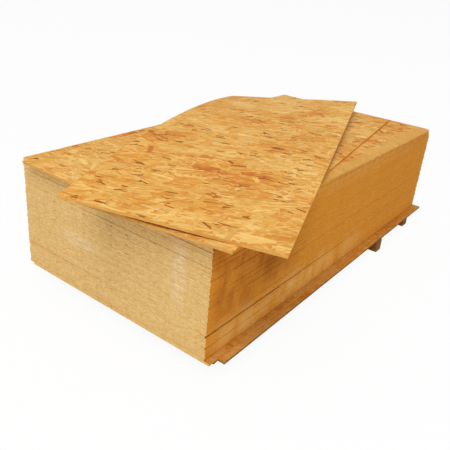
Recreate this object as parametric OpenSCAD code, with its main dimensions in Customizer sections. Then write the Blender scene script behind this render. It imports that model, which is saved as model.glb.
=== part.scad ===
// Stack of oriented strand board sheets on sawn timber bearers.
// X runs along the sheets, Y across them and Z up from the floor.
// The origin lies on the floor under the middle of the squared-up stack.

/* [Sheet] */
// Length of a full sheet
sheet_l = 2500; // [2000:10:3000]
// Width of a full sheet
sheet_w = 1250; // [1000:10:1500]
// Thickness of every sheet
sheet_t = 12; // [9:0.5:18]
// Air between two sheets that lie on each other
sheet_gap = 0.3; // [0.1:0.1:0.5]

/* [Squared-up stack] */
// Number of sheets in the squared-up stack
stack_count = 49; // [20:1:50]
// Furthest that a sheet has slipped along or across the stack
slip = 1.5; // [0:0.5:4]
// Furthest that a sheet has turned from the stack, in degrees
slip_turn = 0.03; // [0:0.01:0.1]
// Clip across the crushed far corner of the lowest loose sheet
corner_clip = 50; // [20:1:90]
// Number of sheets whose far corner is crushed, from the lowest loose one down
corner_sheets = 4; // [1:1:6]

/* [Open seams] */
// Number of the sheet that leaves the wide open seam
wide_seam_sheet = 11; // [2:1:19]
// Set-back of that sheet at the front end of the long face
wide_seam_depth = 9; // [4:1:15]
// Number of the sheet that leaves the narrow open seam
narrow_seam_sheet = 6; // [2:1:19]
// Set-back of that sheet at the front end of the long face
narrow_seam_depth = 4; // [2:1:8]

/* [Lower sheets] */
// Slip of the lowest sheet along the stack
lowest_along = 65; // [0:1:120]
// Slip of the lowest sheet out of the long face
lowest_out = 50; // [0:1:90]
// Turn of the lowest sheet, in degrees
lowest_turn = 0.5; // [-1:0.1:1]
// Slip of the second sheet out of the long face
second_out = 27; // [0:1:60]

/* [Loose sheets] */
// Length of a loose sheet
loose_l = 2500; // [2000:10:2700]
// Width of each loose sheet, lowest first
loose_w = [1180, 780, 975]; // [700:5:1250]
// Middle of each loose sheet along the stack, lowest first
loose_along = [-55, -141, -184]; // [-250:1:250]
// Middle of each loose sheet across the stack, lowest first
loose_across = [-43, -168, -42]; // [-200:1:150]
// Turn of each loose sheet, in degrees, lowest first
loose_turn = [-0.4, 9.5, 20.1]; // [-25:0.1:25]
// Twist of the warped top sheet from its front end to its far end, in degrees
top_twist = 8.5; // [0:0.5:10]
// Lean of the warped top sheet away from the open long face, in degrees
top_lean = 1.6; // [0:0.1:3]
// Rise of the warped top sheet's left edge at the middle of its length
top_rise = 77; // [0:1:100]

/* [Bearers] */
// Number of bearers under the stack
bearer_count = 5; // [3:2:5]
// Width of a bearer
bearer_w = 70; // [50:1:100]
// Height of a bearer
bearer_h = 80; // [60:1:120]
// Distance of a bearer's ends from the stack's long faces
bearer_inset = 25; // [0:1:60]
// Distance from the stack's end to the middle of its last bearer
bearer_end = 150; // [80:1:300]
// Chamfer along a bearer's sawn edges
bearer_chamfer = 3; // [1:0.5:6]
// Shift of each bearer across the stack
bearer_shift = [8, -6, 0, -75, -45]; // [-80:1:80]

/* [Hidden] */
// Seeds of the slips along, across and round
slip_seeds = [17, 42, 73];
loose_count = len(loose_turn);
// Slices of the warped sheet along its length
warp_slices = 48;
// Steps along one side of an outline when sheets are set on each other
outline_steps = 250;
layer = sheet_t + sheet_gap;
lowest_z = bearer_h + sheet_gap;
second_z = lowest_z + layer;
stack_z = second_z + layer;
loose_z = stack_z + stack_count * layer;
bearer_l = sheet_w - 2 * bearer_inset;
bearer_pitch = (sheet_l - 2 * bearer_end) / (bearer_count - 1);
slips_along = rands(-slip, slip, stack_count, slip_seeds[0]);
slips_across = rands(-slip, slip, stack_count, slip_seeds[1]);
slip_turns = rands(-slip_turn, slip_turn, stack_count, slip_seeds[2]);
strand_colors = ["#d9a65c", "#d2994d", "#deb06a", "#cc9247"];
bearer_color = "#8d6238";

function two_digits(i) = str(i < 10 ? "0" : "", i);
function stack_name(i) = str("stack_sheet_", two_digits(i));
function loose_name(i) = str("loose_sheet_", i);
function bearer_name(i) = str("bearer_", i);

// Set-back of a sheet at the front end of the long face, which leaves an open seam
function seam_depth(i) = i == wide_seam_sheet ? wide_seam_depth
    : i == narrow_seam_sheet ? narrow_seam_depth : 0;

// Clip of a sheet's far corner, which grows up to the lowest loose sheet, counted on from the stack
function corner_of(i) = corner_clip * max(0, 1 - (stack_count + 1 - i) / corner_sheets);

// Level tops under the warped sheet: middle, turn, size and height
level_tops = [
    [[0, 0], 0, [sheet_l, sheet_w], loose_z - sheet_gap],
    for (i = [0:loose_count - 2])
        [
            [loose_along[i], loose_across[i]],
            loose_turn[i],
            [loose_l, loose_w[i]],
            loose_z + i * layer + sheet_t
        ]
];
top = loose_count - 1;
top_outline = [[loose_along[top], loose_across[top]], loose_turn[top], [loose_l, loose_w[top]]];

// Place in the plan of a point on a rectangle, and the other way round
function turned(p, a) = [p.x * cos(a) - p.y * sin(a), p.x * sin(a) + p.y * cos(a)];
function to_plan(r, p) = r[0] + turned(p, r[1]);
function from_plan(r, p) = turned(p - r[0], -r[1]);

// Points along the outline of a rectangle, in the plan
function outline(r) = [
    for (s = [-1:2 / outline_steps:1], side = [-1, 1])
        each [to_plan(r, [s * r[2].x, side * r[2].y] / 2), to_plan(r, [side * r[2].x, s * r[2].y] / 2)]
];
function covers(r, p) = let (q = from_plan(r, p)) abs(q.x) <= r[2].x / 2 && abs(q.y) <= r[2].y / 2;

// Roll and height of the warped sheet's cross-section, from -1 at its front end to 1 at its far end
function warp_arch(s) = top_rise * (1 - s * s);
function warp_roll(s) = asin(warp_arch(s) / loose_w[top]) - top_lean - top_twist * s / 2;
function warp_middle(s) = warp_arch(s) / 2;

// Height of the warped sheet's underside at a point of the plan, over the middle of its ends
function warp(p) =
    let (q = from_plan(top_outline, p), s = 2 * q.x / loose_l)
        warp_middle(s) + q.y * tan(warp_roll(s));

// Corners of one cross-section of the warped sheet, in order round it
function warp_section(l, w, s) = [
    for (c = [[-1, -1], [1, -1], [1, 1], [-1, 1]])
        let (p = turned([c.x * w, c.y * sheet_t] / 2, warp_roll(s)))
            [s * l / 2, p.x, p.y + warp_middle(s) + sheet_t / 2]
];

// Height of the middle of the warped sheet's ends that sets it down on the level tops
warp_z = sheet_gap + max([
    for (r = level_tops, p = concat(outline(r), outline(top_outline)))
        if (covers(r, p) && covers(top_outline, p)) r[3] - warp(p)
]);

// Sheet lying flat, centred on Z, with one corner clipped if clip is over zero
module sheet(l, w, clip = 0) {
    linear_extrude(sheet_t)
        if (clip > 0)
            polygon([
                [-l / 2, -w / 2],
                [l / 2 - clip, -w / 2],
                [l / 2, -w / 2 + clip],
                [l / 2, w / 2],
                [-l / 2, w / 2]
            ]);
        else
            square([l, w], center = true);
}

// One sheet of the squared-up stack, counted from the bottom
module stack_sheet(i) {
    depth = seam_depth(i);
    seam_turn = atan2(-depth, sheet_l);
    color(strand_colors[i % len(strand_colors)])
        translate([
            slips_along[i - 1],
            slips_across[i - 1] + depth / 2,
            stack_z + (i - 1) * layer
        ])
            rotate(slip_turns[i - 1] + seam_turn)
                sheet(sheet_l, sheet_w, corner_of(i));
}

// Sheet under the stack that has slid out of its long face and past its far end
module lowest_sheet() {
    color(strand_colors[0])
        translate([lowest_along, -lowest_out, lowest_z])
            rotate(lowest_turn)
                sheet(sheet_l, sheet_w);
}

// Sheet between the lowest one and the stack
module second_sheet() {
    color(strand_colors[2])
        translate([0, -second_out, second_z])
            sheet(sheet_l, sheet_w);
}

// Sheet that has twisted along its length and arched along one edge, skinned over its cross-sections
module warped_sheet(l, w) {
    last = 4 * warp_slices;
    points = [for (k = [0:warp_slices]) each warp_section(l, w, 2 * k / warp_slices - 1)];
    skin = [
        for (k = [0:4:last - 4], c = [0:3])
            let (a = k + c, b = k + (c + 1) % 4)
                each c < 2 ? [[a, a + 4, b], [b, a + 4, b + 4]] : [[a, a + 4, b + 4], [a, b + 4, b]]
    ];
    polyhedron(points, concat([[0, 1, 2, 3]], skin, [[last + 3, last + 2, last + 1, last]]));
}

// One of the narrower sheets that lie loose on the stack, lowest first
module loose_sheet(i) {
    warped = i == loose_count;
    color(strand_colors[i % len(strand_colors)])
        translate([loose_along[i - 1], loose_across[i - 1], warped ? warp_z : loose_z + (i - 1) * layer])
            rotate(loose_turn[i - 1])
                if (warped) warped_sheet(loose_l, loose_w[i - 1]);
                else sheet(loose_l, loose_w[i - 1], i == 1 ? corner_of(stack_count + 1) : 0);
}

// Sawn timber across the stack, with its long edges chamfered
module bearer(i) {
    c = bearer_chamfer;
    x = (i - (bearer_count + 1) / 2) * bearer_pitch;
    color(bearer_color)
        translate([x, bearer_shift[i - 1] + bearer_l / 2, 0])
            rotate([90, 0, 0])
                linear_extrude(bearer_l)
                    polygon([
                        [-bearer_w / 2 + c, 0],
                        [bearer_w / 2 - c, 0],
                        [bearer_w / 2, c],
                        [bearer_w / 2, bearer_h - c],
                        [bearer_w / 2 - c, bearer_h],
                        [-bearer_w / 2 + c, bearer_h],
                        [-bearer_w / 2, bearer_h - c],
                        [-bearer_w / 2, c]
                    ]);
}

for (i = [1:bearer_count])
    bearer(i);
lowest_sheet();
second_sheet();
for (i = [1:stack_count])
    stack_sheet(i);
for (i = [1:loose_count])
    loose_sheet(i);
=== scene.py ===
"""Dresses a stack of strand board sheets: sawn edges, strands, bearers, light and camera."""

import math
from collections import namedtuple

import bmesh
import bpy
import numpy as np
from bpy.props import FloatProperty, FloatVectorProperty, IntProperty, PointerProperty
from mathutils import Matrix, Vector


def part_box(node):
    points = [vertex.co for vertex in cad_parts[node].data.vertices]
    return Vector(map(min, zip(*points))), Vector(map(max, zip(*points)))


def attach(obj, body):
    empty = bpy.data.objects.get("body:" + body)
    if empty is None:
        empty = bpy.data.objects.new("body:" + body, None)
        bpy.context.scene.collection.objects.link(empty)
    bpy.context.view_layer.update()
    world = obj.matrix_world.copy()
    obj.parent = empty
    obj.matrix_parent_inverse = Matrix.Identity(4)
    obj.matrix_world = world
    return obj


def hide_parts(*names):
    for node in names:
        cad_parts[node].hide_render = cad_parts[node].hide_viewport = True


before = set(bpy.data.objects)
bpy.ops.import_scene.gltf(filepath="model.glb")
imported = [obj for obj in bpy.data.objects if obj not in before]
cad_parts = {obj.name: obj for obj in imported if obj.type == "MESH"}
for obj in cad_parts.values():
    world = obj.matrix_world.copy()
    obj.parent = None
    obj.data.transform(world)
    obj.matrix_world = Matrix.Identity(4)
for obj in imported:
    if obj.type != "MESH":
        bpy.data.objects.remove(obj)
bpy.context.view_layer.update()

bl_info = {
    "name": "Strand board stack",
    "version": (1, 0, 0),
    "blender": (4, 5, 0),
    "location": "View3D > Sidebar > Board stack",
    "description": "Builds the boards, strands and bearers of a stack of strand board sheets",
    "category": "Object",
}

STACK = sorted(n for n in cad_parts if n.startswith("stack_sheet_"))
LOOSE = sorted(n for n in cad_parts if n.startswith("loose_sheet_"))
LOWER = ["lowest_sheet", "second_sheet"]
BEARERS = sorted(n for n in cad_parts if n.startswith("bearer_"))


def srgb(code):
    """Linear colour of a six-figure screen colour."""
    parts = [int(code[i:i + 2], 16) / 255 for i in (0, 2, 4)]
    return tuple(c / 12.92 if c <= 0.04045 else ((c + 0.055) / 1.055) ** 2.4 for c in parts) + (1.0,)


def number(name, description, default, **kind):
    """Number property, with its unit or subtype where it has one."""
    return FloatProperty(name=name, description=description, default=default, **kind)


def numbers(name, description, default, **kind):
    """Property of several numbers, with their subtype."""
    return FloatVectorProperty(name=name, description=description, default=default, **kind)


def tint(name, description, code):
    """Colour property with a default given as a screen colour."""
    return numbers(name, description, srgb(code), subtype="COLOR", size=4, min=0.0, max=1.0)


# Settings that a user would change


class StrandSettings(bpy.types.PropertyGroup):
    """Strands on the open faces of the sheets."""

    length: number("Length", "Usual length of a strand", 0.072, unit="LENGTH")
    width: number("Width", "Usual width of a strand", 0.0085, unit="LENGTH")
    lay: number("Lay", "Mean turn of the strands from the sheet's length", math.radians(-76), subtype="ANGLE")
    swing: number("Swing", "Usual turn of a strand from the lay", math.radians(21), subtype="ANGLE")
    layers: number("Layers", "Strands over each other at a point of the face", 2.1)
    relief: number("Relief", "Height of the topmost strands over the face", 0.0008, unit="LENGTH")
    flake_share: number("Flakes", "Share of large flakes among the strands", 0.045, subtype="FACTOR")
    # The dark slivers stand for bark and for painted shade in the gaps between strands
    blots: number("Dark blots", "Clusters of bark slivers on a square metre", 54.0)
    patches: number("Patches", "Patches of pale or orange strands on a square metre", 55.0)
    seed: IntProperty(name="Seed", description="Start of the strands' random places", default=11)
    pale: tint("Pale strand", "Colour of sapwood strands", "efc374")
    honey: tint("Honey strand", "Colour of most strands", "dfa146")
    orange: tint("Orange strand", "Colour of heartwood strands", "d47b33")
    # Colour of bark and of the painted shade in the gaps between strands
    bark_and_gap_shade: tint("Bark_and_gap_shade", "Colour of bark slivers and gaps", "67400f")
    # Colour towards which the ledges of the slipped sheets are darkened
    ledge_darkening: tint("Grime", "Dirt on the ledges of the slipped sheets", "a8671f")
    band: tint("Worn band", "Colour of the worn band along the lowest loose sheet", "d6a24f")
    band_width: number("Band width", "Width of the worn band", 0.085, unit="LENGTH")
    band_share: number("Band strength", "Cover of the worn band", 0.7, subtype="FACTOR")


class EdgeSettings(bpy.types.PropertyGroup):
    """Sawn edges of the sheets."""

    roughness: number("Raggedness", "Unevenness of a sawn edge", 0.0005, unit="LENGTH")
    void_share: number("Voids", "Share of the edge's cells that are open voids", 0.004, subtype="FACTOR")
    void_depth: number("Void depth", "Depth of an open void", 0.0025, unit="LENGTH")
    seed: IntProperty(name="Seed", description="Start of the edges' random places", default=5)
    end_pale: tint("Sawn end, pale", "Pale strands on the short ends", "f0d193")
    end_dark: tint("Sawn end, dark", "Dark strands on the short ends", "c39750")
    # The long sides are darker and more orange than the ends: partly their own colour, partly painted warm
    # shade of the long face
    side_pale: tint("Sawn side, pale", "Pale strands on the long sides", "e6a038")
    side_dark: tint("Sawn side, dark", "Dark strands on the long sides", "cb7c1d")
    # Seam colour: dirt in the seams and voids, painted shade in the open seams, and the darker lowest sheet
    seam: tint("Seam", "Dirt in the seams and voids", "6e4518")
    loose_pale: tint("Loose end, pale", "Pale strands on the loose sheets' ends", "dfab5a")
    loose_dark: tint("Loose end, dark", "Dark strands on the loose sheets' ends", "c78a3c")
    # Painted light: paler colour laid along the top edge and the foot of the long face
    rim: tint("Pale rim", "Worn strands along the top and the foot of the long face", "e9b465")
    # Painted shadow: colour of the shade under the overhanging loose sheets on the long face
    painted_shadow: tint("Stain", "Water stain on the long face", "9a4f10")
    scuff: tint("Scuff", "Chalky scuffs on the sawn ends", "ecdcc0")


class BearerSettings(bpy.types.PropertyGroup):
    """Sawn timbers under the stack."""

    wane: number("Wane", "Depth of the missing edge along a timber", 0.007, unit="LENGTH")
    seed: IntProperty(name="Seed", description="Start of the timbers' random places", default=29)
    early: tint("Early wood", "Pale part of the grain", "a9743f")
    late: tint("Late wood", "Dark part of the grain", "6d4420")
    weather: tint("Weathering", "Grey film on the sawn faces", "7b6450")


class StageSettings(bpy.types.PropertyGroup):
    """Floor, light and camera."""

    camera_place: numbers("Camera", "Place of the camera", (-2.826, -1.792, 1.719),
                          subtype="XYZ", unit="LENGTH")
    camera_look: numbers("Look", "Direction that the camera looks in", (0.735, 0.523, -0.433),
                         subtype="DIRECTION")
    camera_right: numbers("Right", "Direction to the right of the image", (0.609, -0.789, 0.082),
                          subtype="DIRECTION")
    lens: number("Lens", "Focal length on a 36 mm sensor, in millimetres", 44.88)
    key_share: number("Key light", "Light of the key on a face turned to it", 0.65)
    sky_share: number("Sky light", "Light from all round", 0.5)
    floor: tint("Floor", "Colour of the floor", "f4f4f4")


SETTING_GROUPS = {
    "strands": StrandSettings,
    "edges": EdgeSettings,
    "timbers": BearerSettings,
    "stage": StageSettings,
}


class StackSettings(bpy.types.PropertyGroup):
    """All settings of the stack."""

    strands: PointerProperty(type=StrandSettings)
    edges: PointerProperty(type=EdgeSettings)
    timbers: PointerProperty(type=BearerSettings)
    stage: PointerProperty(type=StageSettings)


def settings():
    """Settings of the stack in this scene."""
    return bpy.context.scene.board_stack


# Node trees


class Graph:
    """Adds nodes to one tree and links them."""

    def __init__(self, tree):
        self.tree = tree

    def add(self, kind, feeds=None, **values):
        node = self.tree.nodes.new(kind)
        for name, value in values.items():
            setattr(node, name, value)
        for key, value in (feeds or {}).items():
            if isinstance(value, bpy.types.NodeSocket):
                self.link(value, node.inputs[key])
            else:
                node.inputs[key].default_value = value
        return node

    def link(self, source, target):
        self.tree.links.new(source, target)

    def math(self, operation, a, b):
        return self.add("ShaderNodeMath", {0: a, 1: b}, operation=operation).outputs[0]

    def total(self, a, share_a, b, share_b):
        return self.math("ADD", self.math("MULTIPLY", a, share_a), self.math("MULTIPLY", b, share_b))

    def mix(self, factor, a, b, blend="MIX"):
        node = self.add("ShaderNodeMix", {0: factor, 6: a, 7: b}, data_type="RGBA", blend_type=blend)
        return node.outputs[2]

    def vector(self, operation, a, b=(0, 0, 0), output=0):
        return self.add("ShaderNodeVectorMath", {0: a, 1: b}, operation=operation).outputs[output]

    def scaled(self, vector, scale):
        return self.vector("MULTIPLY", vector, scale)

    def noise(self, vector, scale, detail=2.0, rough=0.5):
        feeds = {"Vector": vector, "Scale": scale, "Detail": detail, "Roughness": rough}
        return self.add("ShaderNodeTexNoise", feeds).outputs[0]

    def span(self, value, low, high, start=0.0, end=1.0):
        feeds = {"Value": value, "From Min": low, "From Max": high, "To Min": start, "To Max": end}
        return self.add("ShaderNodeMapRange", feeds).outputs[0]

    def group(self, name, **feeds):
        """Outputs of a shared shader group, which is built when it is first asked for."""
        tree = bpy.data.node_groups.get(name) or GROUP_BUILDERS[name]()
        return self.add("ShaderNodeGroup", feeds, node_tree=tree).outputs

    def place(self):
        """Place on the piece, in its own coordinates."""
        return self.add("ShaderNodeTexCoord").outputs["Object"]

    def channels(self, name):
        """Three channels of a colour attribute of the mesh."""
        colour = self.add("ShaderNodeAttribute", attribute_name=name).outputs["Color"]
        return self.add("ShaderNodeSeparateColor", {0: colour}).outputs[:3]


def node_group(name, values=(), vectors=("Vector",), colours=(), gives=("Mask",), kind="Float"):
    """New shader group with named sockets: its graph, what it is given and what it gives."""
    tree = bpy.data.node_groups.new(name, "ShaderNodeTree")
    for labels, way, socket in ((vectors, "INPUT", "Vector"), (values, "INPUT", "Float"),
                                (colours, "INPUT", "Color"), (gives, "OUTPUT", kind)):
        for label in labels:
            tree.interface.new_socket(label, in_out=way, socket_type=f"NodeSocket{socket}")
    graph = Graph(tree)
    return graph, graph.add("NodeGroupInput").outputs, graph.add("NodeGroupOutput").inputs


def fibre_group():
    """Fine lines of wood fibre along the first axis of a vector."""
    graph, given, out = node_group("Fibre grain", ("Fineness", "Stretch"), gives=("Grain",))
    along = graph.math("DIVIDE", given["Fineness"], given["Stretch"])
    scale = graph.add("ShaderNodeCombineXYZ", {0: along, 1: given["Fineness"], 2: given["Fineness"]})
    place = graph.scaled(given["Vector"], scale.outputs[0])
    fine = graph.noise(place, 1.0, 3.0, 0.6)
    broad = graph.noise(place, 0.22, 1.0)
    blend = graph.total(fine, 0.6, broad, 0.4)
    graph.link(graph.span(blend, 0.32, 0.68), out["Grain"])
    return graph.tree


def palette_group():
    """Colour of a strand from its tone, from pale sapwood to bark and painted gap shade."""
    graph, given, out = node_group(
        "Strand palette", ("Tone",), (), ("Pale", "Honey", "Orange", "Bark_and_gap_shade"), ("Colour",), "Color")
    colour = graph.mix(graph.span(given["Tone"], 0.0, 0.33), given["Pale"], given["Honey"])
    colour = graph.mix(graph.span(given["Tone"], 0.33, 0.66), colour, given["Orange"])
    colour = graph.mix(graph.span(given["Tone"], 0.66, 1.0), colour, given["Bark_and_gap_shade"])
    graph.link(colour, out["Colour"])
    return graph.tree


# Cut strands and saw marks to the metre
LAYERS_TO_M = 190.0
SAW_TO_M = (110.0, 110.0, 6.0)


def layers_group():
    """Pressed strands that a saw has cut through, seen on the edge of a sheet."""
    graph, given, out = node_group(
        "Sawn layers", ("Layer", "Streak", "Saw"), gives=("Strand", "Seam", "Void", "Height"))
    along = graph.math("DIVIDE", 1.0, given["Streak"])
    scale = graph.add("ShaderNodeCombineXYZ", {0: along, 1: along, 2: LAYERS_TO_M})
    place = graph.scaled(given["Vector"], scale.outputs[0])
    broad = graph.noise(place, 1.0, 2.0, 0.6)
    fine = graph.noise(place, 2.7, 2.0, 0.6)
    saw = graph.noise(graph.scaled(given["Vector"], SAW_TO_M), 1.0, 4.0, 0.75)
    strand = graph.total(broad, 0.55, fine, 0.45)
    marks = graph.math("MULTIPLY", graph.math("SUBTRACT", saw, strand), given["Saw"])
    strand = graph.math("ADD", strand, marks)
    graph.link(graph.span(strand, 0.34, 0.66), out["Strand"])
    rim = graph.math("MINIMUM", given["Layer"], graph.math("SUBTRACT", 1.0, given["Layer"]))
    graph.link(graph.span(rim, 0.0, 0.16, 1.0, 0.0), out["Seam"])
    void = graph.span(fine, 0.62, 0.72)
    graph.link(void, out["Void"])
    height = graph.math("SUBTRACT", strand, graph.math("MULTIPLY", void, 0.6))
    graph.link(height, out["Height"])
    return graph.tree


def streaked_patch_group():
    """Patch with streaks in it, round a centre: the mask of the chalky scuffs, of the painted shadow and of
    the painted light on the sawn edges.
    """
    graph, given, out = node_group("Chalky scuff", vectors=("Vector", "Centre", "Reach", "Streak"))
    away = graph.vector("SUBTRACT", given["Vector"], given["Centre"])
    reach = graph.vector("LENGTH", graph.vector("DIVIDE", away, given["Reach"]), output="Value")
    patch = graph.span(reach, 1.0, 0.25)
    streaks = graph.noise(graph.scaled(given["Vector"], given["Streak"]), 1.0, 3.0, 0.6)
    mask = graph.math("MULTIPLY", patch, graph.span(streaks, 0.38, 0.62))
    graph.link(mask, out["Mask"])
    return graph.tree


def pattern_group():
    """Flat strands that lie under the topmost ones, as cells stretched in two directions."""
    graph, given, out = node_group("Strand pattern", gives=("Tone", "Height"))
    tones, edges = [], []
    for turn in (0.45, -0.7):
        turned = graph.add("ShaderNodeMapping", {"Vector": given["Vector"], "Rotation": (0, 0, turn),
                                                 "Scale": (9.0, 46.0, 1.0)}).outputs[0]
        cell = graph.add("ShaderNodeTexVoronoi", {"Vector": turned, "Scale": 1.0}, voronoi_dimensions="2D")
        tones.append(graph.add("ShaderNodeSeparateColor", {0: cell.outputs["Color"]}).outputs[0])
        edges.append(cell.outputs["Distance"])
    either = graph.span(graph.noise(given["Vector"], 14.0, 1.0), 0.49, 0.51)
    tone = graph.mix(either, *tones)
    graph.link(graph.math("MULTIPLY", tone, 0.45), out["Tone"])
    graph.link(graph.mix(either, *edges), out["Height"])
    return graph.tree


# Distance over and under its height at which the worn band ends
BAND_DEPTH = 0.003


def band_group():
    """Soft band that runs along X, over a height."""
    graph, given, out = node_group("Worn band", ("Edge", "Width", "Height"))
    _, across, up = graph.add("ShaderNodeSeparateXYZ", {0: given["Vector"]}).outputs
    wander = graph.span(graph.noise(given["Vector"], 5.0, 3.0), 0.3, 0.7, -0.2, 0.2)
    place = graph.math("DIVIDE", graph.math("SUBTRACT", across, given["Edge"]), given["Width"])
    side = graph.span(graph.math("ADD", place, wander), 0.75, 1.15, 1.0, 0.0)
    level = graph.math("COMPARE", up, given["Height"])
    level.node.inputs[2].default_value = BAND_DEPTH
    graph.link(graph.math("MULTIPLY", side, level), out["Mask"])
    return graph.tree


def low_group():
    """Darkening below a level, which fades out over it."""
    graph, given, out = node_group("Low dirt", ("Level", "Fade"))
    height = graph.add("ShaderNodeSeparateXYZ", {0: given["Vector"]}).outputs[2]
    clean = graph.math("ADD", given["Level"], given["Fade"])
    graph.link(graph.span(height, clean, given["Level"]), out["Mask"])
    return graph.tree


GROUP_BUILDERS = {
    "Fibre grain": fibre_group,
    "Strand palette": palette_group,
    "Sawn layers": layers_group,
    "Chalky scuff": streaked_patch_group,
    "Strand pattern": pattern_group,
    "Worn band": band_group,
    "Low dirt": low_group,
}


# Materials


# Darkening of the ledges and of the lowest sheet: height of its fade, and strength
LEDGE_FADE, LEDGE_DARKENING = 0.005, 0.6
LOWEST_FADE, LOWEST_DARKENING = 0.0006, 0.8
WOOD_SHINE = 0.08
# Strength of the dirt in the seams and in fine voids, and of the painted shade in the open seams
SEAM_DIRT, VOID_DIRT, OPEN_SHADE = 0.05, 0.22, 0.8


def worn(graph, strands, colour):
    """Colour with the worn band on the lowest loose sheet and the darkening of the ledges laid over it."""
    place = graph.place()
    sheet = PLACES[LOOSE[0]]
    band = graph.group("Worn band", Vector=place, Edge=sheet.middle[1] - sheet.width / 2,
                       Width=strands.band_width, Height=sheet.heights[0] + THICKNESS / 2)["Mask"]
    colour = graph.mix(graph.math("MULTIPLY", band, strands.band_share), colour, strands.band)
    ledge = PLACES[STACK[0]].heights[0]
    darkening = graph.group("Low dirt", Vector=place, Level=ledge, Fade=LEDGE_FADE)["Mask"]
    return graph.mix(graph.math("MULTIPLY", darkening, LEDGE_DARKENING), colour, strands.ledge_darkening)


def new_material(name, roughness=0.65):
    """Material with a plain wood shader, its graph and its shader."""
    material = bpy.data.materials.new(name)
    material.use_nodes = True
    graph = Graph(material.node_tree)
    shader = material.node_tree.nodes["Principled BSDF"]
    shader.inputs["Roughness"].default_value = roughness
    shader.inputs["Specular IOR Level"].default_value = WOOD_SHINE
    return material, graph, shader


def link_shader(graph, shader, colour, height, strength, distance, rough=None):
    """Links colour, bump and roughness to a shader."""
    graph.link(colour, shader.inputs["Base Color"])
    bump = graph.add("ShaderNodeBump", {"Strength": strength, "Distance": distance, "Height": height})
    graph.link(bump.outputs[0], shader.inputs["Normal"])
    if rough is not None:
        graph.link(rough, shader.inputs["Roughness"])


def strand_colours(strands):
    """Palette inputs from the settings."""
    return {"Pale": strands.pale, "Honey": strands.honey, "Orange": strands.orange, "Bark_and_gap_shade": strands.bark_and_gap_shade}


def strand_material(strands):
    """Pressed strands: each has its own tone and fibre along its length."""
    material, graph, shader = new_material("pressed_strand")
    tone, light, _ = graph.channels("strand")
    fibre = graph.add("ShaderNodeUVMap", uv_map="fibre").outputs["UV"]
    grain = graph.group("Fibre grain", Vector=fibre, Fineness=300.0, Stretch=14.0)["Grain"]
    tone = graph.math("ADD", tone, graph.span(grain, 0.0, 1.0, 0.07, -0.07))
    colour = graph.group("Strand palette", Tone=tone, **strand_colours(strands))["Colour"]
    shade = graph.math("MULTIPLY", graph.span(light, 0.0, 1.0, 0.89, 1.08),
                       graph.span(grain, 0.0, 1.0, 0.84, 1.1))
    grey = graph.add("ShaderNodeCombineColor", {0: shade, 1: shade, 2: shade}).outputs[0]
    colour = graph.mix(1.0, colour, grey, "MULTIPLY")
    colour = worn(graph, strands, colour)
    link_shader(graph, shader, colour, grain, 0.25, 0.0004, graph.span(grain, 0.0, 1.0, 0.7, 0.55))
    return material


def face_material(strands):
    """Face of a sheet between and below the topmost strands."""
    material, graph, shader = new_material("strand_face")
    place = graph.place()
    under = graph.group("Strand pattern", Vector=place)
    grain = graph.group("Fibre grain", Vector=place, Fineness=420.0, Stretch=12.0)["Grain"]
    colour = graph.group("Strand palette", Tone=graph.math("ADD", under["Tone"], 0.08),
                         **strand_colours(strands))["Colour"]
    colour = graph.mix(graph.span(grain, 0.0, 1.0, 0.12, 0.0), colour, strands.bark_and_gap_shade)
    colour = worn(graph, strands, colour)
    link_shader(graph, shader, colour, under["Height"], 0.3, 0.0006)
    return material


def edge_material(name, edges, pale, dark, streak, saw, marks=(), open_seams=False):
    """Sawn edge of a sheet: cut strands, marks, dirty seams, painted shade in the open seams, a darker lowest
    sheet and open voids.
    """
    material, graph, shader = new_material(name, 0.8)
    place = graph.place()
    layer, tone, recess = graph.channels("board")
    cut = graph.group("Sawn layers", Vector=place, Layer=layer, Streak=streak, Saw=saw)
    colour = graph.mix(cut["Strand"], dark, pale)
    colour = graph.mix(graph.span(tone, 0.0, 1.0, 0.16, 0.0), colour, dark)
    # Marks: chalky scuffs, and the painted shadow and painted light on the long face
    for mark in marks:
        mask = graph.group("Chalky scuff", Vector=place, Centre=mark.centre, Reach=mark.reach,
                           Streak=mark.streaks)["Mask"]
        colour = graph.mix(graph.math("MULTIPLY", mask, mark.strength), colour, getattr(edges, mark.colour))
    # The lowest sheet's edges are darkened towards the seam colour
    lowest = PLACES[LOWER[0]].heights[0] + THICKNESS / 2
    low = graph.group("Low dirt", Vector=place, Level=lowest - LOWEST_FADE / 2, Fade=LOWEST_FADE)["Mask"]
    colour = graph.mix(graph.math("MULTIPLY", low, LOWEST_DARKENING), colour, edges.seam)
    # Painted shade in the open seams, deepest at the sheet's end at -X, where it stands back most
    if open_seams:
        colour = graph.mix(graph.span(recess, 0.3, 1.0, 0.0, OPEN_SHADE), colour, edges.seam)
    darkening = graph.math("MAXIMUM", graph.math("MULTIPLY", cut["Seam"], SEAM_DIRT),
                      graph.math("MULTIPLY", cut["Void"], VOID_DIRT))
    colour = graph.mix(darkening, colour, edges.seam)
    link_shader(graph, shader, colour, cut["Height"], 0.4, 0.0015)
    return material


def void_material(edges):
    """Inside of an open void in a sawn edge."""
    material, graph, shader = new_material("edge_void", 0.9)
    place = graph.place()
    speck = graph.noise(place, 300.0, 2.0)
    colour = graph.mix(graph.span(speck, 0.3, 0.7), edges.seam, edges.side_dark)
    link_shader(graph, shader, colour, speck, 0.3, 0.001)
    return material


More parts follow.
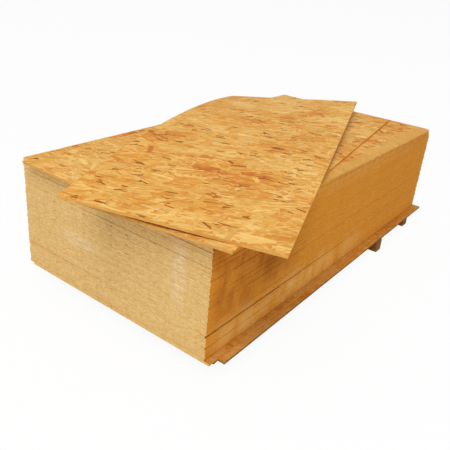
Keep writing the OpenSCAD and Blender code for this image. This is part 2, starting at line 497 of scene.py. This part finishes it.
def timber_material(name, timbers, rings):
    """Rough sawn timber that has weathered, along the grain or on its end."""
    material, graph, shader = new_material(name, 0.85)
    place = graph.place()
    if rings:
        centre = graph.add("ShaderNodeMapping", {"Vector": place, "Location": (0.02, 0.0, 0.03),
                                                 "Scale": (1.0, 0.02, 1.0)}).outputs[0]
        feeds = {"Vector": centre, "Scale": 38.0, "Distortion": 2.5, "Detail": 2.0}
        wave = graph.add("ShaderNodeTexWave", feeds, wave_type="RINGS", rings_direction="Y").outputs["Fac"]
    else:
        turned = graph.add("ShaderNodeMapping", {"Vector": place, "Rotation": (0, 0, math.pi / 2)}).outputs[0]
        wave = graph.group("Fibre grain", Vector=turned, Fineness=190.0, Stretch=26.0)["Grain"]
    saw = graph.noise(graph.scaled(place, (25.0, 220.0, 25.0)), 1.0, 2.0)
    film = graph.noise(place, 9.0, 4.0, 0.6)
    colour = graph.mix(wave, timbers.late, timbers.early)
    colour = graph.mix(graph.span(film, 0.4, 0.7, 0.05, 0.5), colour, timbers.weather)
    height = graph.total(wave, 0.6, saw, 0.6)
    link_shader(graph, shader, colour, height, 0.5, 0.002)
    return material


# Places of the sheets, read from the CAD nodes


class SheetPlace:
    """Middle, turn, size, clipped corner and warp of a sheet."""

    # Most points that a flat sheet's mesh has
    FLAT_POINTS = 16
    # Steps in degrees in which the turn is searched, and how many of them to each side
    TURN_STEPS = (1e-2, 1e-4)
    TURN_TRIES = 4000
    # Distances within which points lie on one edge or on one cross-section
    EDGE_NEAR = 1e-4
    SECTION_NEAR = 2e-3

    def __init__(self, node):
        points = np.array([v.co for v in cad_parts[node].data.vertices])
        points = np.unique(np.round(points, 6), axis=0)
        plan, height = points[:, :2], points[:, 2]
        self.warped = len(points) > self.FLAT_POINTS
        if self.warped:
            self._set_warped(plan, height)
        else:
            self._set_flat(plan, height)

    def _set_flat(self, plan, height):
        """Takes the smallest box round a flat sheet's outline."""
        self.turn = 0.0
        for step in self.TURN_STEPS:
            turns = self.turn + np.arange(-self.TURN_TRIES, self.TURN_TRIES + 1) * math.radians(step)
            along, across = self._turned(plan[:, 0, None], plan[:, 1, None], turns)
            self.turn = turns[(np.ptp(along, axis=0) * np.ptp(across, axis=0)).argmin()]
        along, across = self._turned(*plan.T, self.turn)
        self.length, self.width = np.ptp(along), np.ptp(across)
        self.middle = self._turned(along.min() + self.length / 2, across.min() + self.width / 2, -self.turn)
        along, across = self.local(*plan.T)
        self.clip = self.length / 2 - along[across < -self.width / 2 + self.EDGE_NEAR].max()
        self.stations, self.leans = [-1.0, 1.0], [0.0, 0.0]
        self.heights = [height.min() / 2 + height.max() / 2] * 2

    def _set_warped(self, plan, height):
        """Takes the lean and the height of every cross-section of a warped sheet."""
        spread = np.linalg.eigh(np.cov(plan.T))[1][:, -1]
        self.turn = math.atan2(spread[1] * np.sign(spread[0]), abs(spread[0]))
        self.middle = plan.mean(axis=0)
        along, across = self.local(*plan.T)
        self.length, self.clip = np.ptp(along), 0.0
        self.stations, self.leans, self.heights = np.unique(np.round(along, 3)), [], []
        for station in self.stations:
            near = np.abs(along - station) < self.SECTION_NEAR
            self.leans.append(math.atan(np.polyfit(across[near], height[near], 1)[0]))
            self.heights.append(height[near].mean())
        self.width = np.ptp(across[near] * math.cos(self.leans[-1]) + height[near] * math.sin(self.leans[-1]))

    @staticmethod
    def _turned(x, y, turn):
        """Points of the plan in axes that are turned."""
        return x * np.cos(turn) + y * np.sin(turn), y * np.cos(turn) - x * np.sin(turn)

    def local(self, x, y):
        """Place along and across the sheet of points of the plan."""
        return self._turned(x - self.middle[0], y - self.middle[1], self.turn)

    def world(self, along, across, up):
        """Points of the stack from places along, across and over the middle of the sheet."""
        lean = np.interp(along, self.stations, self.leans)
        height = np.interp(along, self.stations, self.heights)
        side = across * np.cos(lean) - up * np.sin(lean)
        x, y = self._turned(along, side, -self.turn)
        return np.stack([self.middle[0] + x, self.middle[1] + y,
                         height + across * np.sin(lean) + up * np.cos(lean)], axis=-1)

    def covers(self, x, y, margin):
        """True for points of the plan that lie under the sheet, at least a margin from its rim."""
        along, across = self.local(x, y)
        return (np.abs(along) < self.length / 2 - margin) & (np.abs(across) < self.width / 2 - margin)


THICKNESS = (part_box(LOWER[0])[1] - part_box(LOWER[0])[0]).z
FULL_LENGTH = (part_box(LOWER[1])[1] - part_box(LOWER[1])[0]).x
PLACES = {node: SheetPlace(node) for node in LOWER + STACK + LOOSE}


# Modelling helpers


def deselect():
    """Leaves edit mode with nothing selected."""
    if bpy.context.mode != "OBJECT":
        bpy.ops.object.mode_set(mode="OBJECT")
    bpy.ops.object.select_all(action="DESELECT")


def pick(kind, test):
    """Selects those vertices, edges or faces of the edit mesh that pass a test."""
    bpy.ops.mesh.select_mode(type=kind)
    bpy.ops.mesh.select_all(action="DESELECT")
    mesh = bpy.context.edit_object.data
    shape = bmesh.from_edit_mesh(mesh)
    parts = {"VERT": shape.verts, "EDGE": shape.edges, "FACE": shape.faces}[kind]
    for part in parts:
        if test(part):
            part.select_set(True)
    shape.select_flush_mode()
    bmesh.update_edit_mesh(mesh)


def runs_along(axis):
    """Test for edges that run along one axis."""
    def test(edge):
        step = edge.verts[1].co - edge.verts[0].co
        return abs(step[axis]) > 0.9 * step.length
    return test


def cut_along(axis, *cuts):
    """Cuts the edges along one axis, once for each number of pieces."""
    for pieces in cuts:
        pick("EDGE", runs_along(axis))
        bpy.ops.mesh.subdivide(number_cuts=pieces - 1)


def start_block(name, size):
    """New block of a size at the origin, in edit mode."""
    deselect()
    bpy.ops.mesh.primitive_cube_add(size=1.0, location=(0, 0, 0))
    block = bpy.context.object
    block.name = block.data.name = name
    bpy.ops.object.mode_set(mode="EDIT")
    bpy.ops.transform.resize(value=size)
    return block


def set_marks(mesh, name, *channels):
    """Keeps three values of every vertex as a colour attribute."""
    marks = mesh.attributes.new(name, "FLOAT_COLOR", "POINT")
    values = np.stack([*channels, np.ones_like(channels[0])], -1)
    marks.data.foreach_set("color", values.astype(np.float32).ravel())


def on_body(piece, slot, *nodes):
    """Makes a piece ride on the stack and hides the nodes that it stands for; the slot argument is not used.
    """
    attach(piece, "root")
    if nodes:
        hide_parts(*nodes)


def new_piece(name, data):
    """New object of the scene, at the origin."""
    piece = bpy.data.objects.new(name, data)
    bpy.context.scene.collection.objects.link(piece)
    return piece


# Boards


# Pieces into which a board's edges are cut, one cut after the other
BOARD_CUTS_LONG = (12, 12)
BOARD_CUTS_SHORT = (6, 12)
BOARD_ROWS = 3
VOID_RIM = 0.0008
# Share of the thickness at which a face of the top or the bottom lies
FLAT_LEVEL = 0.49
# Number of blanks that the full sheets share, and start of the loose sheets' seeds
BLANK_KINDS = 4
LOOSE_SEEDS = 50
# Order of the materials on a board
FACE, END, SIDE, VOID = range(4)
# Turn that opens a seam for good, and the shares of it between which a seam is open
OPEN_TURN = math.radians(0.18)
OPEN_LEAST, OPEN_MOST = 0.25, 2.0
LEAST_CLIP = 0.001

# Marks on the sawn edges: streaks are counted to the metre, and the colour names a setting
Mark = namedtuple("Mark", "centre reach streaks strength colour")
END_X = -FULL_LENGTH / 2
SIDE_Y = -PLACES[LOWER[1]].width / 2
END_MARKS = (
    Mark((END_X, 0.2, 0.385), (0.06, 0.22, 0.05), (30, 26, 160), 0.5, "scuff"),
    Mark((END_X, -0.45, 0.48), (0.06, 0.06, 0.24), (30, 26, 160), 0.55, "scuff"),
)
SIDE_MARKS = (
    # Painted shadow under the overhanging loose sheets, near the front end of the long face
    Mark((-0.98, SIDE_Y, 0.55), (0.62, 0.1, 0.45), (9, 9, 4), 0.75, "painted_shadow"),
    Mark((-0.93, SIDE_Y, 0.58), (0.5, 0.1, 0.36), (2.5, 2.5, 2), 0.75, "painted_shadow"),
    # Painted light along the top edge of the long face and along its foot
    Mark((0.35, SIDE_Y, 0.73), (1.5, 0.3, 0.13), (40, 40, 15), 0.6, "rim"),
    Mark((-0.6, SIDE_Y, 0.17), (1.1, 0.1, 0.14), (9, 9, 4), 0.85, "rim"),
)


def board_skins(edges, strands):
    """Materials of the full sheets and of the loose ones, in the order of a board's slots."""
    face, void = face_material(strands), void_material(edges)
    end = edge_material("sawn_end", edges, edges.end_pale, edges.end_dark, 0.02, 0.15, END_MARKS)
    side = edge_material("sawn_side", edges, edges.side_pale, edges.side_dark, 0.02, 0.28, SIDE_MARKS,
                         open_seams=True)
    loose_end = edge_material("sawn_loose_end", edges, edges.loose_pale, edges.loose_dark, 0.03, 0.22)
    return (face, end, side, void), (face, loose_end, side, void)


def board_blank(name, place, edges, seed):
    """Models a sheet at the origin, with ragged sawn edges and open voids in them.

    A sheet that is warped keeps the grid on its two faces, and the faces of any other become one each.
    """
    blank = start_block(name, (place.length, place.width, THICKNESS))
    cut_along(2, BOARD_ROWS)
    cut_along(0, *BOARD_CUTS_LONG)
    cut_along(1, *BOARD_CUTS_SHORT)
    bpy.ops.mesh.select_all(action="SELECT")
    bpy.ops.transform.vertex_random(offset=edges.roughness, normal=1.0, seed=seed)
    shape = bmesh.from_edit_mesh(blank.data)
    for vert in shape.verts:
        row = round((vert.co.z / THICKNESS + 0.5) * BOARD_ROWS)
        vert.co.z = row / BOARD_ROWS * THICKNESS - THICKNESS / 2
    bmesh.update_edit_mesh(blank.data)
    chance = np.random.default_rng(seed)
    pick("FACE", lambda face: abs(face.normal.z) < 0.5 and chance.random() < edges.void_share)
    bpy.ops.mesh.inset(thickness=VOID_RIM, depth=-edges.void_depth, use_individual=True)
    shape = bmesh.from_edit_mesh(blank.data)
    for face in shape.faces:
        x, y, z = map(abs, face.normal)
        face.material_index = VOID if face.select else FACE if z > 0.9 else END if x > y else SIDE
    bmesh.update_edit_mesh(blank.data)
    if not place.warped:
        pick("FACE", lambda face: abs(face.calc_center_median().z) > FLAT_LEVEL * THICKNESS)
        bpy.ops.mesh.dissolve_faces()
    bpy.ops.object.mode_set(mode="OBJECT")
    return blank


def clip_corner(board, place):
    """Cuts the crushed far corner off a board that still lies at the origin."""
    deselect()
    board.select_set(True)
    bpy.context.view_layer.objects.active = board
    bpy.ops.object.mode_set(mode="EDIT")
    bpy.ops.mesh.select_all(action="SELECT")
    corner = (place.length / 2 - place.clip / 2, -place.width / 2 + place.clip / 2, 0)
    bpy.ops.mesh.bisect(plane_co=corner, plane_no=(1, -1, 0), use_fill=True, clear_outer=True)
    bpy.ops.object.mode_set(mode="OBJECT")


def set_board(board, place, flip, tone):
    """Moves a board's mesh to its place, turned end for end where flip says, and keeps its marks."""
    mesh = board.data
    local = np.empty(len(mesh.vertices) * 3, dtype=np.float32)
    mesh.vertices.foreach_get("co", local)
    local = local.reshape(-1, 3) * flip
    layer = np.clip(local[:, 2] / THICKNESS + 0.5, 0, 1)
    # The third mark, recess, carries the painted shade of an open seam on a sheet turned just enough to stand
    # back
    skew = abs(place.turn) / OPEN_TURN
    open_share = min(1.0, skew - OPEN_LEAST) if OPEN_LEAST < skew < OPEN_MOST else 0.0
    recess = np.clip(local[:, 0] / -place.length + 0.5, 0, 1) * open_share
    set_marks(mesh, "board", layer, np.full_like(layer, tone), recess)
    mesh.vertices.foreach_set("co", place.world(*local.T).astype(np.float32).ravel())
    mesh.update()


class BOARDSTACK_OT_boards(bpy.types.Operator):
    """Models every sheet with its sawn edges"""

    bl_idname = "board_stack.boards"
    bl_label = "Boards"

    def execute(self, context):
        edges = settings().edges
        full_skins, loose_skins = board_skins(edges, settings().strands)
        chance = np.random.default_rng(edges.seed)
        blanks = [board_blank(f"blank_{k}", PLACES[LOWER[1]], edges, edges.seed + k)
                  for k in range(BLANK_KINDS)]
        for number, (node, place) in enumerate(PLACES.items()):
            blank, skins = blanks[number % BLANK_KINDS], full_skins
            if node in LOOSE:
                blank = board_blank(f"blank_{node}", place, edges, edges.seed + LOOSE_SEEDS + number)
                blanks.append(blank)
                skins = loose_skins
            board = new_piece(f"board_{node}", blank.data.copy())
            for skin in skins:
                board.data.materials.append(skin)
            clipped = place.clip > LEAST_CLIP
            if clipped:
                clip_corner(board, place)
            turned = chance.choice([-1.0, 1.0])
            flip = np.ones(3) if clipped else np.array([turned, turned, 1.0])
            set_board(board, place, flip, chance.random())
            on_body(board, "osb", node)
        for blank in blanks:
            bpy.data.meshes.remove(blank.data)
        return {"FINISHED"}


# Strands


# Shared shapes of the strands, with ragged sides and more ragged ends
STRAND_SHAPES = 10
SIDE_RAG, END_RAG = 0.07, 0.13
END_FROM, END_SEEDS = 0.35, 40
# Depth to which a strand is pressed in, and the least area of its faces
STRAND_SINK = 0.0003
LEAST_AREA = 1e-8
# Grid for laying strands on each other, most layers in it, and those left to slivers
LAY_CELL = 0.006
LAY_REACH, LAY_STEP = 0.6, 0.3
LAY_MOST = 24
LAY_SPARE = 4
# Spread of the lengths, widths and tones, and share of strands that lie any way round
LENGTH_SPREAD, LENGTH_SHARES = 0.45, (0.35, 2.0)
WIDTH_SPREAD, WIDTH_SHARES = 0.6, (0.35, 3.4)
TONE_MIDDLE, TONE_SPREAD, TONE_MOST = 0.19, 0.15, 0.72
WILD_SHARE = 0.12
# Large flakes: relative size, tones and their odds
FLAKE_WIDTH, FLAKE_LENGTH = 2.8, 1.2
FLAKE_TONES, FLAKE_ODDS, FLAKE_SPREAD = (0.02, 0.3, 0.5), (0.4, 0.25, 0.35), 0.06
# Patches: range of reach, and mean and spread of the change of tone
PATCH_REACH = (0.03, 0.09)
PATCH_TONE = (0.02, 0.15)
# Dark slivers, for bark and for painted shade in the gaps between strands: range of relative sizes and tones,
# and number and reach in a blot
SLIVER_LENGTHS, SLIVER_WIDTHS = (0.2, 0.8), (0.4, 1.3)
SLIVER_TONES = (0.74, 0.97)
BLOT_SLIVERS, BLOT_REACH = 2, 0.012


def strand_shapes(seed):
    """Models a few strands of unit size, with ragged ends, as arrays of points and one list of faces."""
    shapes = []
    for k in range(STRAND_SHAPES):
        deselect()
        bpy.ops.mesh.primitive_grid_add(x_subdivisions=2, y_subdivisions=1, size=1.0, location=(0, 0, 0))
        strand = bpy.context.object
        bpy.ops.object.mode_set(mode="EDIT")
        bpy.ops.mesh.select_all(action="SELECT")
        bpy.ops.transform.vertex_random(offset=SIDE_RAG, seed=seed + k)
        pick("VERT", lambda vert: abs(vert.co.x) > END_FROM)
        bpy.ops.transform.vertex_random(offset=END_RAG, seed=seed + END_SEEDS + k)
        bpy.ops.mesh.select_all(action="SELECT")
        bpy.ops.transform.resize(value=(1, 1, 0))
        bpy.ops.mesh.extrude_region_move(TRANSFORM_OT_translate={"value": (0, 0, 1)})
        bpy.ops.mesh.select_all(action="SELECT")
        bpy.ops.mesh.normals_make_consistent(inside=False)
        bpy.ops.object.mode_set(mode="OBJECT")
        points = np.array([v.co for v in strand.data.vertices]).reshape(-1, 3)
        points[:, 2] -= points[:, 2].min()
        shapes.append(points)
        faces = np.array([list(p.vertices) for p in strand.data.polygons])
        bpy.data.meshes.remove(strand.data)
    return np.array(shapes), faces


def scatter(place, strands, chance, keep):
    """Random strands on the face of one sheet: centre, turn, size, tone, layer and light of each."""
    area = place.length * place.width
    half = np.array([[place.length], [place.width]]) / 2
    plain = int(strands.layers * area / (strands.length * strands.width))
    clusters = int(strands.blots * area)
    dark = clusters * BLOT_SLIVERS
    count = plain + dark
    spot = chance.uniform(-1, 1, (2, count)) * half
    blot = np.repeat(chance.uniform(-1, 1, (2, clusters)) * half, BLOT_SLIVERS, axis=1)
    spot[:, plain:] = blot + chance.normal(0, BLOT_REACH, (2, dark))
    length = strands.length * np.clip(chance.lognormal(0.0, LENGTH_SPREAD, count), *LENGTH_SHARES)
    width = strands.width * np.clip(chance.lognormal(0.0, WIDTH_SPREAD, count), *WIDTH_SHARES)
    turn = chance.normal(strands.lay, strands.swing, count)
    wild = (chance.random(count) < WILD_SHARE) & (np.arange(count) < plain)
    turn[wild] = chance.uniform(-math.pi / 2, math.pi / 2, wild.sum())
    tone = TONE_MIDDLE + chance.normal(0, TONE_SPREAD, count)
    flake = chance.random(count) < strands.flake_share
    length[flake] *= FLAKE_LENGTH
    width[flake] *= FLAKE_WIDTH
    tone[flake] = chance.choice(FLAKE_TONES, flake.sum(), p=FLAKE_ODDS)
    tone[flake] += chance.normal(0, FLAKE_SPREAD, flake.sum())
    patches = int(strands.patches * area)
    middles = chance.uniform(-1, 1, (2, patches)) * half
    reach = chance.uniform(*PATCH_REACH, patches)
    change = chance.normal(*PATCH_TONE, patches)
    for k in range(patches):
        away = ((spot - middles[:, k, None]) ** 2).sum(axis=0)
        tone += change[k] * np.exp(-away / (2 * reach[k] ** 2))
    tone = np.clip(tone, 0.0, TONE_MOST)
    tone[plain:] = chance.uniform(*SLIVER_TONES, dark)
    length[plain:] = strands.length * chance.uniform(*SLIVER_LENGTHS, dark)
    width[plain:] = strands.width * chance.uniform(*SLIVER_WIDTHS, dark)
    light = chance.random(count)
    shown = keep(*place.world(*spot, 0.0)[:, :2].T)
    layer = settle(place, *spot, length, width, turn, shown,
                   np.where(np.arange(count) < plain, LAY_MOST - LAY_SPARE, LAY_MOST))
    kept = layer > 0
    return [values[kept] for values in (*spot, length, width, turn, tone, layer, light)]


def lay_steps(size):
    """Places along one side of a strand and a little past it, less than a cell of the grid apart."""
    return np.arange(-LAY_REACH, LAY_REACH + 0.01, min(LAY_STEP, 0.5 * LAY_CELL / size)) * size


def settle(place, along, across, length, width, turn, shown, most):
    """Layer in which each strand comes to lie on those before it, or 0 if it isn't laid."""
    cells = np.zeros((int(place.length / LAY_CELL) + 3, int(place.width / LAY_CELL) + 3), dtype=int)
    layer = np.zeros(len(along), dtype=int)
    for k in np.flatnonzero(shown):
        x, y = lay_steps(length[k])[:, None], lay_steps(width[k])[None]
        c, s = math.cos(turn[k]), math.sin(turn[k])
        i = ((along[k] + x * c - y * s + place.length / 2) / LAY_CELL + 1).astype(int)
        j = ((across[k] + x * s + y * c + place.width / 2) / LAY_CELL + 1).astype(int)
        i, j = np.clip(i, 0, cells.shape[0] - 1), np.clip(j, 0, cells.shape[1] - 1)
        level = cells[i, j].max() + 1
        if level <= most[k]:
            cells[i, j] = level
            layer[k] = level
    return layer


def has_body(points, faces):
    """True for each strand that has no face squashed at the rim of the sheet."""
    corners = points[:, faces]
    across = np.cross(corners[:, :, 2] - corners[:, :, 0], corners[:, :, 3] - corners[:, :, 1])
    return np.linalg.norm(across, axis=-1).min(axis=1) / 2 > LEAST_AREA


def strand_mesh(name, place, shapes, faces, strands, chance, face_side, keep):
    """One mesh of all the strands on the upper or lower face of a sheet."""
    along, across, length, width, turn, tone, layer, light = scatter(place, strands, chance, keep)
    count = len(along)
    form = shapes[chance.integers(0, len(shapes), count)]
    x, y = form[:, :, 0] * length[:, None], form[:, :, 1] * width[:, None]
    c, s = np.cos(turn)[:, None], np.sin(turn)[:, None]
    u = np.clip(along[:, None] + x * c - y * s, -place.length / 2, place.length / 2)
    v = np.clip(across[:, None] + x * s + y * c, -place.width / 2, place.width / 2)
    top = form[:, :, 2] > 0.5
    up = THICKNESS / 2 + np.where(top, strands.relief * layer[:, None] / LAY_MOST, -STRAND_SINK)
    shift = chance.uniform(0, 5, (count, 1))
    whole = has_body(np.stack([u, v, up], -1), faces)
    x, y, u, v, up, shift, tone, light = (
        values[whole] for values in (x, y, u, v, up, shift, tone, light))
    count, size = x.shape
    points = place.world(u.ravel(), v.ravel(), face_side * up.ravel())
    order = faces if face_side > 0 else faces[:, ::-1]
    corners = (order[None] + size * np.arange(count)[:, None, None]).reshape(-1, 4)
    mesh = bpy.data.meshes.new(name)
    mesh.from_pydata(points.tolist(), [], corners.tolist())
    fibre = mesh.uv_layers.new(name="fibre")
    flat = np.stack([(x + shift).ravel(), (y + shift).ravel()], 1)
    fibre.data.foreach_set("uv", flat[corners.ravel()].astype(np.float32).ravel())
    set_marks(mesh, "strand", *np.stack([tone, light, np.zeros(count)]).repeat(size, axis=1))
    mesh.update()
    return mesh


def open_faces():
    """Open faces of the sheets: name, node, side and a test for the plan's points that show.

    Strands run in under the sheet above, or over the one below, by the margin that stands with it.
    """
    first, second, third = (PLACES[node] for node in LOOSE)
    stack, lower = PLACES[STACK[-1]], PLACES[STACK[0]]

    def over(*covers):
        return lambda x, y: ~np.any([place.covers(x, y, margin) for place, margin in covers], axis=0)

    def everywhere(x, y):
        return np.ones_like(x, dtype=bool)

    return [
        ("strands_loose_3", LOOSE[2], 1, everywhere),
        ("strands_loose_2", LOOSE[1], 1, over((third, 0.25))),
        ("strands_loose_1", LOOSE[0], 1, over((second, 0.04), (third, 0.3))),
        ("strands_stack_top", STACK[-1], 1, over((first, 0.03))),
        ("strands_second_sheet", LOWER[1], 1, over((lower, 0.03))),
        ("strands_lowest_sheet", LOWER[0], 1, over((PLACES[LOWER[1]], 0.03))),
        ("strands_under_loose_3", LOOSE[2], -1, over((second, 0.2))),
        ("strands_under_loose_2", LOOSE[1], -1, over((first, 0.05))),
        ("strands_under_loose_1", LOOSE[0], -1, over((stack, 0.05))),
    ]


class BOARDSTACK_OT_strands(bpy.types.Operator):
    """Lays pressed strands on the open faces of the sheets"""

    bl_idname = "board_stack.strands"
    bl_label = "Strands"

    def execute(self, context):
        strands = settings().strands
        skin = strand_material(strands)
        shapes, faces = strand_shapes(strands.seed)
        chance = np.random.default_rng(strands.seed)
        for name, node, side, keep in open_faces():
            mesh = strand_mesh(name, PLACES[node], shapes, faces, strands, chance, side, keep)
            mesh.materials.append(skin)
            on_body(new_piece(name, mesh), "osb")
        return {"FINISHED"}


# Bearers


TIMBER_CUTS = (5, 6)
TIMBER_BEVEL = 0.003
# Reach of the wane along a timber, to each side of its middle, and round the timber's edge
WANE_ALONG, WANE_ROUND = 0.35, 0.01
# Unevenness of the sawn sides and of the ends
SIDE_WANDER, END_WANDER = 0.0005, 0.001


class BOARDSTACK_OT_bearers(bpy.types.Operator):
    """Models the sawn timbers under the stack"""

    bl_idname = "board_stack.bearers"
    bl_label = "Bearers"

    def execute(self, context):
        timbers = settings().timbers
        skins = [timber_material("timber_side", timbers, rings=False),
                 timber_material("timber_end", timbers, rings=True)]
        chance = np.random.default_rng(timbers.seed)
        for number, node in enumerate(BEARERS):
            timber = self.timber(node, timbers, timbers.seed + number, chance)
            for skin in skins:
                timber.data.materials.append(skin)
            on_body(timber, "bearer_timber", node)
        return {"FINISHED"}

    @staticmethod
    def timber(node, timbers, seed, chance):
        """One timber at its place, with sawn faces, a waney edge and rough ends."""
        low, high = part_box(node)
        size = high - low
        timber = start_block(f"timber_{node}", size)
        pick("EDGE", runs_along(1))
        bpy.ops.mesh.bevel(offset=TIMBER_BEVEL, segments=2, affect="EDGES")
        cut_along(1, *TIMBER_CUTS)
        middle_of_wane = chance.uniform(-0.3, 0.3) * size.y
        corner = Vector((chance.choice([-1, 1]) * size.x / 2, 0, -size.z / 2))
        shape = bmesh.from_edit_mesh(timber.data)
        for vert in shape.verts:
            near = abs(vert.co.x - corner.x) + abs(vert.co.z - corner.z)
            fade = max(0.0, 1 - abs(vert.co.y - middle_of_wane) / WANE_ALONG)
            if near < WANE_ROUND:
                vert.co.x -= math.copysign(timbers.wane * fade, corner.x)
                vert.co.z += timbers.wane * fade
        for vert in shape.verts:
            vert.co.x += chance.normal(0, SIDE_WANDER)
            if abs(vert.co.y) > size.y / 2 - 1e-4:
                vert.co.y += chance.normal(0, END_WANDER)
        for face in shape.faces:
            face.material_index = 1 if abs(face.normal.y) > 0.7 else 0
        bmesh.update_edit_mesh(timber.data)
        bpy.ops.mesh.select_all(action="SELECT")
        bpy.ops.transform.translate(value=(low + high) / 2)
        bpy.ops.object.mode_set(mode="OBJECT")
        return timber


# Stage


class BOARDSTACK_OT_stage(bpy.types.Operator):
    """Sets up the floor, the light and the camera"""

    bl_idname = "board_stack.stage"
    bl_label = "Stage"

    FLOOR_SIDE = 400.0
    # Share of plain white that the camera sees on the floor, over which the shadow stays
    FLOOR_GLOW = 0.93
    # Direction, distance and size of the key light, and the point that it is turned to
    KEY_FROM = Vector((-0.56, -0.22, 0.8)).normalized()
    KEY_AWAY = 16.0
    KEY_SIDE = 11.0
    KEY_AT = Vector((0, 0, 0.4))
    SENSOR_WIDTH = 36.0

    def execute(self, context):
        stage = settings().stage
        context.scene.view_settings.view_transform = "Standard"
        self.floor(stage)
        self.light(context.scene, stage)
        self.camera(context.scene, stage)
        return {"FINISHED"}

    def floor(self, stage):
        """Wide pale floor that looks white to the camera."""
        deselect()
        bpy.ops.mesh.primitive_plane_add(size=self.FLOOR_SIDE, location=(0, 0, 0))
        floor = bpy.context.object
        floor.name = "floor"
        material = bpy.data.materials.new("floor")
        material.use_nodes = True
        graph = Graph(material.node_tree)
        nodes = material.node_tree.nodes
        shader = nodes["Principled BSDF"]
        shader.inputs["Base Color"].default_value = stage.floor
        shader.inputs["Roughness"].default_value = 0.9
        glow = graph.add("ShaderNodeEmission", {"Color": (1, 1, 1, 1), "Strength": 1.0})
        seen = graph.add("ShaderNodeLightPath").outputs["Is Camera Ray"]
        share = graph.math("MULTIPLY", seen, self.FLOOR_GLOW)
        both = graph.add("ShaderNodeMixShader", {0: share, 1: shader.outputs[0], 2: glow.outputs[0]})
        graph.link(both.outputs[0], nodes["Material Output"].inputs["Surface"])
        floor.data.materials.append(material)

    def light(self, scene, stage):
        """Even light from all round, white to the camera, and one large soft key light."""
        world = bpy.data.worlds.new("studio")
        world.use_nodes = True
        scene.world = world
        graph = Graph(world.node_tree)
        path = graph.add("ShaderNodeLightPath").outputs
        seen = graph.math("MAXIMUM", path["Is Camera Ray"],
                          graph.math("MAXIMUM", path["Is Glossy Ray"], path["Is Transmission Ray"]))
        strength = graph.span(seen, 0.0, 1.0, stage.sky_share, 1.0)
        shader = world.node_tree.nodes["Background"]
        shader.inputs["Color"].default_value = (1, 1, 1, 1)
        graph.link(strength, shader.inputs["Strength"])
        lamp = bpy.data.lights.new("key", "AREA")
        lamp.shape = "DISK"
        lamp.size = self.KEY_SIDE
        lamp.energy = stage.key_share * (math.pi * self.KEY_AWAY) ** 2
        key = new_piece("key", lamp)
        key.location = self.KEY_FROM * self.KEY_AWAY
        key.rotation_euler = (self.KEY_AT - key.location).to_track_quat("-Z", "Y").to_euler()

    def camera(self, scene, stage):
        """Camera at the photo's angle."""
        look = Vector(stage.camera_look).normalized()
        right = Vector(stage.camera_right)
        right = (right - look * right.dot(look)).normalized()
        above = right.cross(look)
        data = bpy.data.cameras.new("camera")
        data.sensor_width = self.SENSOR_WIDTH
        data.lens = stage.lens
        camera = new_piece("camera", data)
        axes = Matrix((right, above, -look)).transposed()
        camera.matrix_world = Matrix.Translation(stage.camera_place) @ axes.to_4x4()
        scene.camera = camera


# Panel and registration


STEPS = (BOARDSTACK_OT_boards, BOARDSTACK_OT_strands, BOARDSTACK_OT_bearers, BOARDSTACK_OT_stage)


class BOARDSTACK_PT_panel(bpy.types.Panel):
    """Lists the settings and the steps of the stack"""

    bl_idname = "BOARDSTACK_PT_panel"
    bl_label = "Board stack"
    bl_space_type = "VIEW_3D"
    bl_region_type = "UI"
    bl_category = "Board stack"

    def draw(self, context):
        for group_name, group in SETTING_GROUPS.items():
            box = self.layout.box()
            box.label(text=group.__doc__)
            for name in group.__annotations__:
                box.prop(getattr(context.scene.board_stack, group_name), name)
        for step in STEPS:
            self.layout.operator(step.bl_idname)


CLASSES = (*SETTING_GROUPS.values(), StackSettings, *STEPS, BOARDSTACK_PT_panel)


def register():
    for cls in CLASSES:
        bpy.utils.register_class(cls)
    bpy.types.Scene.board_stack = PointerProperty(type=StackSettings)


def unregister():
    del bpy.types.Scene.board_stack
    for cls in reversed(CLASSES):
        bpy.utils.unregister_class(cls)


def main():
    register()
    bpy.ops.board_stack.boards()
    bpy.ops.board_stack.strands()
    bpy.ops.board_stack.bearers()
    bpy.ops.board_stack.stage()


if __name__ == "__main__":
    main()
